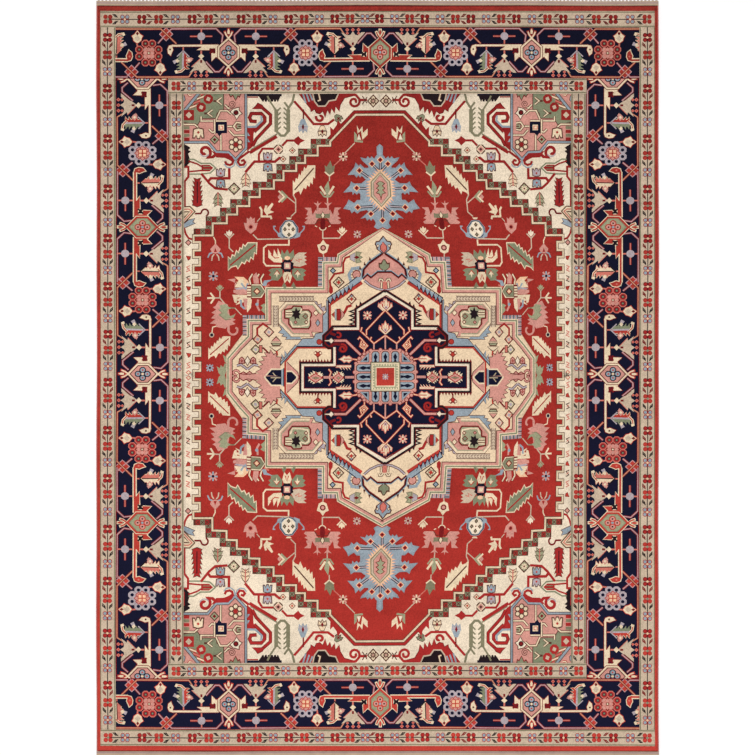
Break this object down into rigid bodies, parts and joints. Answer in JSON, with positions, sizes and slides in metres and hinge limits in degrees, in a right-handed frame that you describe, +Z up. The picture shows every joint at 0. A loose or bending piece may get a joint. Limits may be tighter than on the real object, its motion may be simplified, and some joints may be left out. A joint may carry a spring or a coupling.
{
  "type": "area rug",
  "caption": "Hand-knotted rectangular area rug with stepped medallion, ivory corners, navy main border, guard bands, flat-woven ends and knotted warp fringes.",
  "frame": {"origin": "on the floor under the middle of the rug", "axes": "+X across the rug, +Y along its length, +Z up out of the pile"},
  "size_m": [2.74, 3.798, 0.012],
  "materials": {
    "foundation_cotton": "undyed cotton warps and wefts, close plain weave",
    "selvedge_wool": "red wool wrapped round the side warps",
    "kilim_weave": "beige weft-faced flat weave",
    "fringe_cotton": "loose twisted cotton warp ends tied in knots",
    "red_pile": "cut wool pile, madder red",
    "beige_pile": "cut wool pile, undyed beige with colour bands",
    "navy_pile": "cut wool pile, dark indigo",
    "ivory_pile": "cut wool pile, ivory",
    "blue_pile": "cut wool pile, light blue",
    "tan_pile": "cut wool pile, camel tan"
  },
  "bodies": {
    "root": {"foundation": "foundation_cotton", "selvedge_left": "selvedge_wool", "selvedge_right": "selvedge_wool", "kilim_end_top": "kilim_weave", "kilim_end_bottom": "kilim_weave", "fringe_top": "fringe_cotton", "fringe_bottom": "fringe_cotton", "edge_stripe_left": "red_pile", "edge_stripe_right": "red_pile", "edge_stripe_top": "red_pile", "edge_stripe_bottom": "red_pile", "outer_guard_left": "beige_pile", "outer_guard_right": "beige_pile", "outer_guard_top": "beige_pile", "outer_guard_bottom": "beige_pile", "main_border_left": "navy_pile", "main_border_right": "navy_pile", "main_border_top": "navy_pile", "main_border_bottom": "navy_pile", "inner_guard_left": "beige_pile", "inner_guard_right": "beige_pile", "inner_guard_top": "beige_pile", "inner_guard_bottom": "beige_pile", "spandrel_top_left": "ivory_pile", "spandrel_top_right": "ivory_pile", "spandrel_bottom_left": "ivory_pile", "spandrel_bottom_right": "ivory_pile", "field": "red_pile", "pendant_top": "blue_pile", "pendant_bottom": "blue_pile", "medallion": "tan_pile", "medallion_heart": "navy_pile"}
  },
  "joints": []
}
